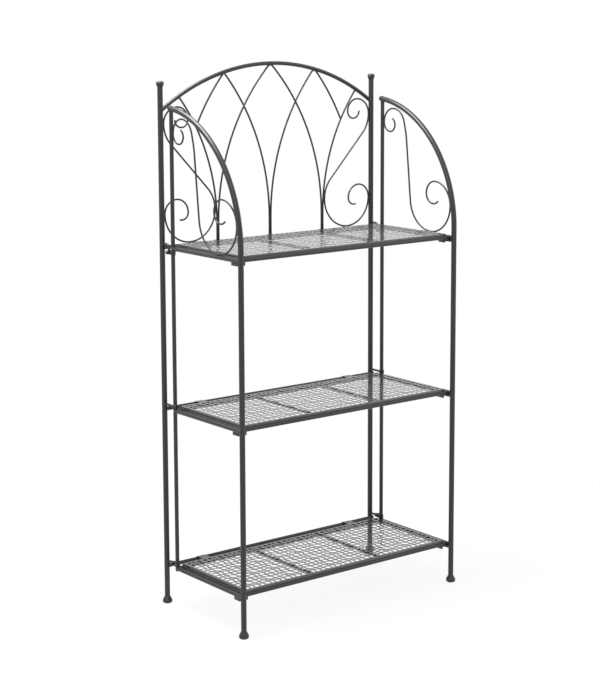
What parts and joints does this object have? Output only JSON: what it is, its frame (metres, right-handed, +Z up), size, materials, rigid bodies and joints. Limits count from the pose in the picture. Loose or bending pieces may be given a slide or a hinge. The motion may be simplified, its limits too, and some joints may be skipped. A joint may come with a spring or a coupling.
{
  "type": "folding wire shelving unit",
  "caption": "Free-standing folding metal shelf unit: perforated shelves between scrolled side frames, with an arched lattice back, that folds flat.",
  "frame": {"origin": "on the floor, under the middle of the unit's outline", "axes": "+Z up, +X to the right seen from the front, +Y to the back, the front faces -Y"},
  "size_m": [0.5896, 0.2994, 1.15],
  "materials": {
    "dark_metal": "satin dark grey paint on steel",
    "perforated_sheet": "satin dark grey paint on thin steel sheet",
    "fasteners": "painted steel fasteners"
  },
  "bodies": {
    "rear_frame": {"back_arch": "dark_metal", "back_rail_bottom": "dark_metal", "back_rail_middle": "dark_metal", "back_rail_top": "dark_metal", "back_scroll_left": "dark_metal", "back_scroll_right": "dark_metal", "finials": "dark_metal", "hinge_arms_bottom": "dark_metal", "hinge_arms_middle": "dark_metal", "hinge_arms_top": "dark_metal", "hinge_bolts": "fasteners", "hinge_clips": "dark_metal", "hinge_dome_nuts": "fasteners", "lattice_centre_left": "dark_metal", "lattice_centre_right": "dark_metal", "lattice_feet": "dark_metal", "lattice_inner_left": "dark_metal", "lattice_inner_right": "dark_metal", "lattice_outer_left": "dark_metal", "lattice_outer_right": "dark_metal", "lattice_short_left": "dark_metal", "lattice_short_right": "dark_metal", "rear_feet": "dark_metal", "rear_post_left": "dark_metal", "rear_post_right": "dark_metal"},
    "side_frame_left": {"front_foot_left": "dark_metal", "front_post_left": "dark_metal", "shelf_tabs_left": "dark_metal", "side_arch_left": "dark_metal", "side_rail_bottom_left": "dark_metal", "side_rail_middle_left": "dark_metal", "side_rail_top_left": "dark_metal", "side_scroll_left": "dark_metal", "upright_left": "dark_metal"},
    "side_frame_right": {"front_foot_right": "dark_metal", "front_post_right": "dark_metal", "shelf_tabs_right": "dark_metal", "side_arch_right": "dark_metal", "side_rail_bottom_right": "dark_metal", "side_rail_middle_right": "dark_metal", "side_rail_top_right": "dark_metal", "side_scroll_right": "dark_metal", "upright_right": "dark_metal"},
    "shelf_bottom": {"shelf_panel_bottom": "perforated_sheet", "shelf_frame_bottom": "dark_metal", "cross_rods_bottom": "dark_metal", "hinge_loops_bottom": "dark_metal"},
    "shelf_middle": {"shelf_panel_middle": "perforated_sheet", "shelf_frame_middle": "dark_metal", "cross_rods_middle": "dark_metal", "hinge_loops_middle": "dark_metal"},
    "shelf_top": {"shelf_panel_top": "perforated_sheet", "shelf_frame_top": "dark_metal", "cross_rods_top": "dark_metal", "hinge_loops_top": "dark_metal"}
  },
  "joints": [
    {"name": "side_frame_left_swing", "type": "hinge", "parent": "rear_frame", "child": "side_frame_left", "pos_m": [-0.28425, 0.09925, 0.1], "axis": [0, 0, 1], "range_deg": [-90, 0]},
    {"name": "side_frame_right_swing", "type": "hinge", "parent": "rear_frame", "child": "side_frame_right", "pos_m": [0.28425, 0.09925, 0.1], "axis": [0, 0, 1], "range_deg": [0, 90]},
    {"name": "shelf_bottom_swing", "type": "hinge", "parent": "rear_frame", "child": "shelf_bottom", "pos_m": [0, 0.1292, 0.0855], "axis": [-1, 0, 0], "range_deg": [0, 87.1]},
    {"name": "shelf_middle_swing", "type": "hinge", "parent": "rear_frame", "child": "shelf_middle", "pos_m": [0, 0.1292, 0.4285], "axis": [-1, 0, 0], "range_deg": [0, 87.1]},
    {"name": "shelf_top_swing", "type": "hinge", "parent": "rear_frame", "child": "shelf_top", "pos_m": [0, 0.1292, 0.7715], "axis": [-1, 0, 0], "range_deg": [0, 87.1]}
  ]
}
